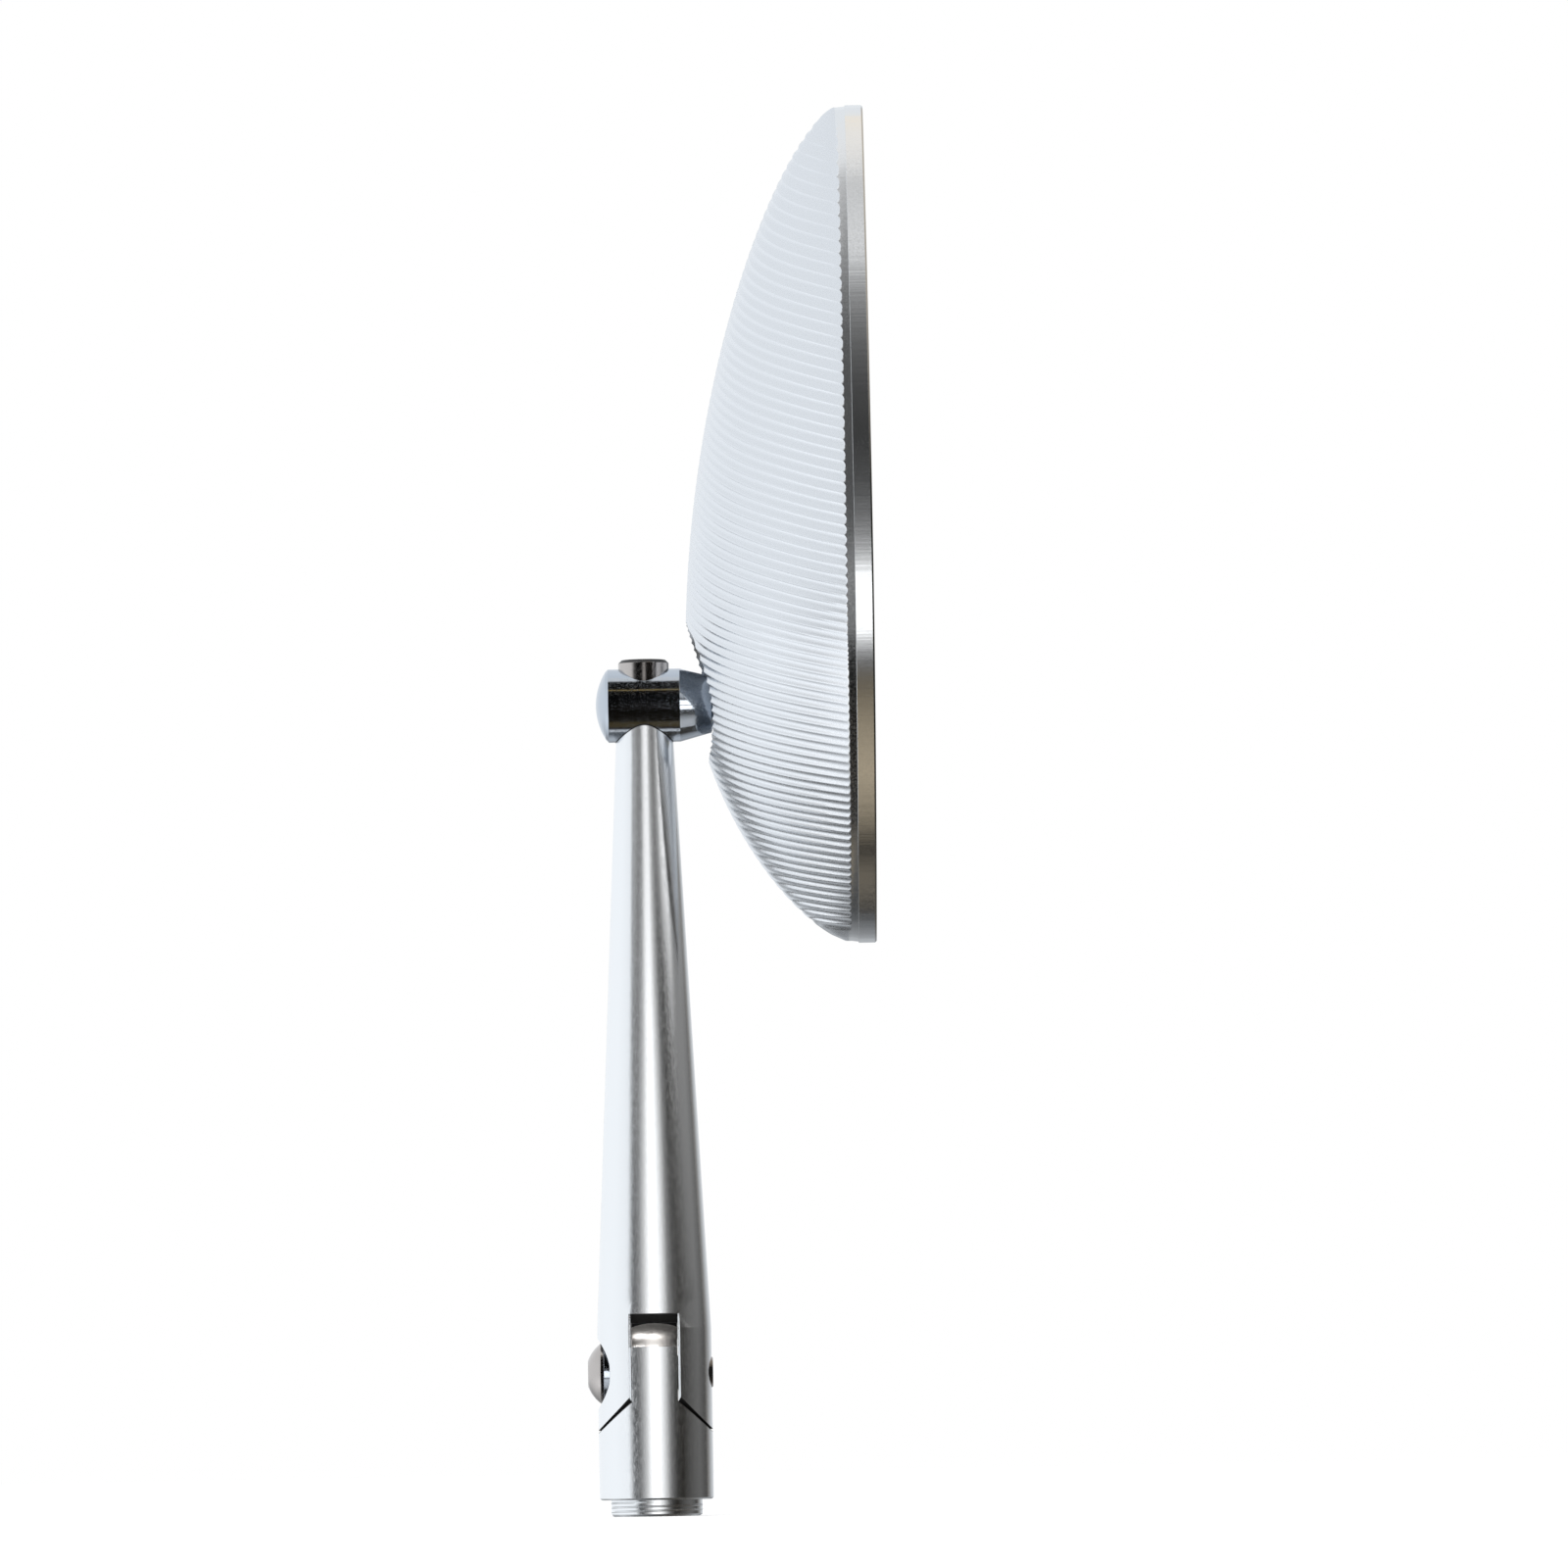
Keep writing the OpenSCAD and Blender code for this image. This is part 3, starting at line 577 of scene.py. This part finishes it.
# Studio paper: matt white, a little brighter to the camera so that it ends in the background.
def studio_paper(tree):
    paper = add_node(tree, "ShaderNodeBsdfDiffuse", {"Color": linear("#fafafa")})
    seen = add_node(tree, "ShaderNodeLightPath").outputs["Is Camera Ray"]
    glow = add_node(tree, "ShaderNodeMath", {0: seen, 1: 0.3}, operation="MULTIPLY").outputs[0]
    white = add_node(tree, "ShaderNodeEmission", {"Color": linear("#ffffff"), "Strength": glow})
    return add_node(tree, "ShaderNodeAddShader", {0: paper.outputs[0], 1: white.outputs[0]})


def pale_floor():
    """A floor of studio paper at the base's foot, which keeps the shadow."""
    corners = ((-3000, -3000), (3000, -3000), (3000, 3000), (-3000, 3000))
    floor = object_from("floor", [(x, y, FLOOR_Z / MM) for x, y in corners], [(0, 1, 2, 3)])
    floor.data.materials.append(new_material("studio_paper", studio_paper))
    floor.visible_glossy = False


# The room that polished metal mirrors: white on the left, a light ceiling, and a dark gap in front.
# The tables give brightness, 1 for white, by azimuth for each elevation. Azimuth 0 is the side that
# the photograph shows, and the right of it is positive. The values were adjusted until
# the reflections came near the brightness measured at points along rows of the photograph.
ROOM_MIDDLE_Z = 120.0
AZIMUTHS = [-180, -150, -120, -90, -56, -50, -44, -38, -32, -22, 12,
            20, 30, 42, 54, 67, 81, 97, 112, 122, 134, 146, 180]
SIDE = [.95, 1.04, 1.08, 1.08, 1, .5, .1, .03, .01, .004, .004,
        .01, .01, .01, .02, .02, .02, .02, .02, .02, .3, .55, .95]
WALL = [.95, 1, 1, 1, 1, 1, .95, .9, .7, .004, .004,
        .2, .3, .3, .3, .35, .4, .4, .4, .4, .5, .8, .95]
ROOM = {
    90: [.95] * 23, 78: [.95] * 23,
    72: [1, 1, 1, 1, 1, 1, 1, .9, .9, .01, .01,
         .5, .7, .8, .8, .8, .8, .8, .8, .8, .8, .9, 1],
    30: WALL, 16: SIDE, -6: SIDE,
    -16: [.3, .5, 1, 1.2, 1.2, .6, .25, .1, .05, .004, .004,
          .01, .02, .02, .02, .02, .02, .02, .02, .02, .2, .25, .3],
    -30: [.5, .4, .9, 1.3, 1.3, 1.2, 1, .9, .7, .004, .004,
          .1, .1, .06, .04, .04, .04, .04, .04, .05, .3, .4, .5],
    -42: [.7, .6, .6, .9, 1, 1, .9, .8, .6, .004, .004,
          .1, .1, .1, .1, .1, .1, .1, .1, .1, .2, .4, .7],
    -60: [.7, .5, .2, .25, .3, .3, .3, .3, .25, .01, .01,
          .06, .06, .06, .06, .06, .06, .06, .06, .06, .2, .4, .7],
    -75: [.4, .3, .15, .1, .1, .1, .1, .1, .1, .03, .02,
          .05, .05, .05, .05, .05, .05, .05, .05, .05, .1, .2, .4],
    -90: [.06] * 23,
}

# Soft boxes, each seen by some of the pieces alone.
# The window beside the stem and base, in rows by height. It is a point by point fit to the
# photograph: its columns lie where the measured points across the stem reflect, four of its rows
# lie near measured rows, and each value was adjusted to the brightness measured there.
WINDOW_AZIMUTHS = [-48, -41, -29, -17, -6, 6, 17, 29, 41, 53.5, 67, 81, 97, 116, 130]
WINDOW = {
    -60: [0, 0, .2, .64, 1.45, 1.45, .84, .18, .03, 0, .05, .09, .12, .06, 0],
    22: [0, 0, .2, .64, 1.45, 1.45, .84, .18, .03, 0, .05, .09, .12, .06, 0],
    54: [0, .04, .26, .84, 1.45, 1.45, 1.06, .24, .09, .03, .08, .15, .19, .12, 0],
    81: [0, .14, .27, .82, 1.45, 1.45, .86, .23, .04, .07, .13, .21, .23, .16, 0],
    100: [0, .18, .2, .5, 1.35, 1.35, .6, .12, .03, .08, .17, .25, .24, .2, 0],
    118: [0, .26, .2, .36, 1.1, 1.1, .37, .1, .09, .26, .93, .25, .32, .34, 0],
    134: [0, .34, .24, .25, .95, 1.14, .36, .18, .44, 1.3, 1.25, .33, .24, .34, 0],
    200: [0, .34, .24, .25, .95, 1.14, .36, .18, .44, 1.3, 1.25, .33, .24, .34, 0],
}
# What the head sees from the front: columns for the dome's flank, the band and the rim
FRONT_AZIMUTHS = [-57, -44, -32, -26, -24, -12, -9, 9, 11]
FRONT = {e: [0, dome, dome, 0, band, band, rim, rim, 0] for e, dome, band, rim in (
    (90, 0, 0, 0), (78, 0, 0, 0), (74, 0, .6, .7), (60, 0, .3, .85), (54, 0, .2, .3), (47, 0, .1, .13),
    (40, 0, .08, .06), (33, 0, .08, .04), (25, 0, .08, .08), (18, .1, .1, .2), (12, .5, .2, .5),
    (7, .8, .2, 1.5), (0, .8, .2, 1.5), (-8, 1.2, .15, 1.5), (-15, 1.2, .15, 1.5), (-20, 1, .05, .6),
    (-25, .6, 0, .17), (-32, .4, 0, 0), (-42, .3, 0, 0), (-60, .1, 0, 0), (-75, 0, 0, 0))}
FRONT_LOW = {e: [0, 0, 0, 0, band, band, rim, rim, 0] for e, band, rim in (
    (-26, 0, 0), (-32, 0, .14), (-44, 0, .33), (-56, 0, .46), (-66, 0, .28), (-74, .2, 0), (-84, .5, .4),
    (-90, .6, .5))}
# What the stud sees: a light floor, a few amber glints, and two white strips beside its taper
STUD_AZIMUTHS = [-30, -20, 14, 22, 25]
STUD = {e: [0, bright, bright, bright, 0] for e, bright in ((-74, 0), (-78, .8), (-90, .8))}
AMBER = {e: [0, bright, bright, bright, 0] for e, bright in (
    (46.5, 0), (45, .5), (43, .5), (41.5, 0), (20, 0), (-46, .01), (-52, .1), (-64, .12), (-70, .02),
    (-73, 0))}
TAPER_AZIMUTHS = [12, 16, 104, 108]
TAPER = {height: [0, bright, bright, 0] for height, bright in (
    (384, .9), (299, .8), (240, .7), (205, .6), (190, .4), (178, .1), (170, .15), (165, 2.6), (136, 2.6),
    (134, .1), (131, .1), (129, 2.6), (107, 2.6), (102, .03), (65, .05), (41, .3), (-6, .6), (-152, .7))}
# What the top screw's head sees: a dim card in the middle and a bright one on the right
SCREW_AZIMUTHS = [-6, -3, 7, 10, 52, 56, 66, 70]
SCREW = {e: [0, .5, .5, 0, 0, 1.8, 1.8, 0] for e in (-20, 30)}
# What the washer sees: two bright cards, one over the other
WASHER_AZIMUTHS = [-12, -9, 9, 12]
WASHER = {e: [0, bright, bright, 0] for e, bright in (
    (8, 0), (4, 2), (-14, 2), (-18, .1), (-24, 1), (-50, .7), (-60, 0))}
# What the mirror glass sees: a soft sky over a darker ground
SKY_AZIMUTHS = [5, 20, 160, 175]
SKY = {-60: [0, .2, .2, 0], -5: [0, .35, .35, 0], 5: [0, .6, .6, 0], 60: [0, .9, .9, 0]}


def table_glow(tree, see_through):
    """The light of a sheet's brightness table; one that only some pieces see is clear to the others."""
    table_colour = add_node(tree, "ShaderNodeVertexColor", layer_name="brightness").outputs["Color"]
    glow = add_node(tree, "ShaderNodeEmission", {"Color": table_colour})
    if see_through:
        clear = add_node(tree, "ShaderNodeBsdfTransparent")
        glow = add_node(tree, "ShaderNodeAddShader", {0: glow.outputs[0], 1: clear.outputs[0]})
    return glow


def panel(name, azimuths, rows, radius, step, only=None, upright=False, tint="#ffffff"):
    """A round sheet with a brightness table that only reflections see.

    The table goes by azimuth and by elevation, or by height on an upright sheet. With no tint of
    its own, the sheet that every piece sees is warm on the right and faintly cool on the left.
    """
    elevations = sorted(rows)
    az = np.arange(azimuths[0], azimuths[-1] + 0.01, step)
    el = np.arange(elevations[0], elevations[-1] + 0.01, step)
    table = np.array([np.interp(az, azimuths, rows[e]) for e in elevations])
    bright = np.array([np.interp(el, elevations, table[:, k]) for k in range(len(az))]).T
    warm = np.interp(az, [-180, -50, 40, 120, 150, 180], [-1, -1, 1, 1, -1, -1]) * (only is None)
    red = 1 + np.where(warm > 0, 0.1, 0.03) * warm
    blue = 1 - np.where(warm > 0, 0.14, 0.03) * warm
    points, shades = [], []
    for i, e in enumerate(np.radians(el)):
        for k, a in enumerate(np.radians(az)):
            out, up = (radius, el[i]) if upright else (radius * cos(e), ROOM_MIDDLE_Z + radius * sin(e))
            points.append((out * sin(a), -out * cos(a), up))
            v = bright[i, k]
            shades.append((v * red[k], v, v * blue[k], 1))
    wide = len(az)
    faces = [(a, a + wide, a + wide + 1, a + 1)
             for i in range(len(el) - 1) for a in range(i * wide, i * wide + wide - 1)]
    shades = np.array(shades) * linear(tint)
    material = new_material(name, table_glow, see_through=bool(only))
    material.cycles.emission_sampling = "NONE"
    sheet = object_from(name, points, faces)
    colours = sheet.data.color_attributes.new("brightness", "FLOAT_COLOR", "POINT")
    colours.data.foreach_set("color", shades.ravel())
    sheet.data.materials.append(material)
    sheet.visible_camera = sheet.visible_diffuse = sheet.visible_shadow = sheet.visible_transmission = False
    light_only(sheet, only)


def light_only(source, only):
    """Lets a light reach the objects in only, or every object if it is empty."""
    if only:
        lit = bpy.data.collections.new(source.name + "_lit")
        for piece in only:
            lit.objects.link(piece)
        source.light_linking.receiver_collection = lit


def soft_lamp(name, place, aim, size, watts, only=None):
    """A soft box at a place in metres; only names the objects that it lights and that shade it."""
    light = bpy.data.lights.new(name, "AREA")
    light.shape, light.size, light.size_y = "RECTANGLE", size[0], size[1]
    light.energy = watts
    lamp = bpy.data.objects.new(name, light)
    bpy.context.scene.collection.objects.link(lamp)
    lamp.location = place
    lamp.rotation_euler = (Vector(aim) - Vector(place)).to_track_quat("-Z", "Y").to_euler()
    lamp.visible_camera = False
    lamp.visible_glossy = only is not None
    light_only(lamp, only)
    lamp.light_linking.blocker_collection = lamp.light_linking.receiver_collection


white_world()
pale_floor()
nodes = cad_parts
panel("room", AZIMUTHS, ROOM, 2500, 3)
panel("window", WINDOW_AZIMUTHS, WINDOW, 150, 2, [nodes["stem"], nodes["base"], thread], upright=True)
panel("front", FRONT_AZIMUTHS, FRONT, 2390, 1, [shell])
panel("front_low", FRONT_AZIMUTHS, FRONT_LOW, 2385, 1, [shell], tint="#ffeccb")
panel("stud_light", STUD_AZIMUTHS, STUD, 2380, 1, [nodes["ball_stud"]])
panel("amber_light", STUD_AZIMUTHS, AMBER, 2370, 0.5, [nodes["ball_stud"]], tint="#d8b978")
panel("taper_light", TAPER_AZIMUTHS, TAPER, 150, 1, [nodes["ball_stud"]], upright=True)
panel("screw_light", SCREW_AZIMUTHS, SCREW, 2360, 2, [nodes["knuckle_screw"]])
panel("sky_light", SKY_AZIMUTHS, SKY, 2340, 3, [nodes["mirror_glass"]])
panel("washer_light", WASHER_AZIMUTHS, WASHER, 2350, 1, [nodes["pivot_washer"]])
soft_lamp("overhead", (-0.1, -0.2, 1.5), (0, 0, 0.1), (1.2, 1.2), 3)
soft_lamp("crown_middle", (0, -0.5, 0.6), (0, 0, 0.03), (0.12, 0.12), 3, [nodes["base"]])
soft_lamp("crown_left", (-0.42, -0.25, 0.5), (0, 0, 0.03), (0.12, 0.12), 3, [nodes["base"]])

# The photograph's camera: low, almost square to the mirror's side, level with the base
camera_place = Vector((5, -2200, 10)) * MM
camera_aim = Vector((24.37, 0, 125.2)) * MM
CAMERA_LEAN = radians(-0.965)
camera = bpy.data.objects.new("camera", bpy.data.cameras.new("camera"))
bpy.context.scene.collection.objects.link(camera)
sight = camera_aim - camera_place
turn = sight.to_track_quat("-Z", "Y").to_matrix() @ Matrix.Rotation(CAMERA_LEAN, 3, "Z")
camera.matrix_world = Matrix.Translation(camera_place) @ turn.to_4x4()
camera.data.sensor_width = 36
camera.data.lens = 287.75
camera.data.clip_start, camera.data.clip_end = 0.01, 20
bpy.context.scene.camera = camera
bpy.context.scene.view_settings.view_transform = "Standard"
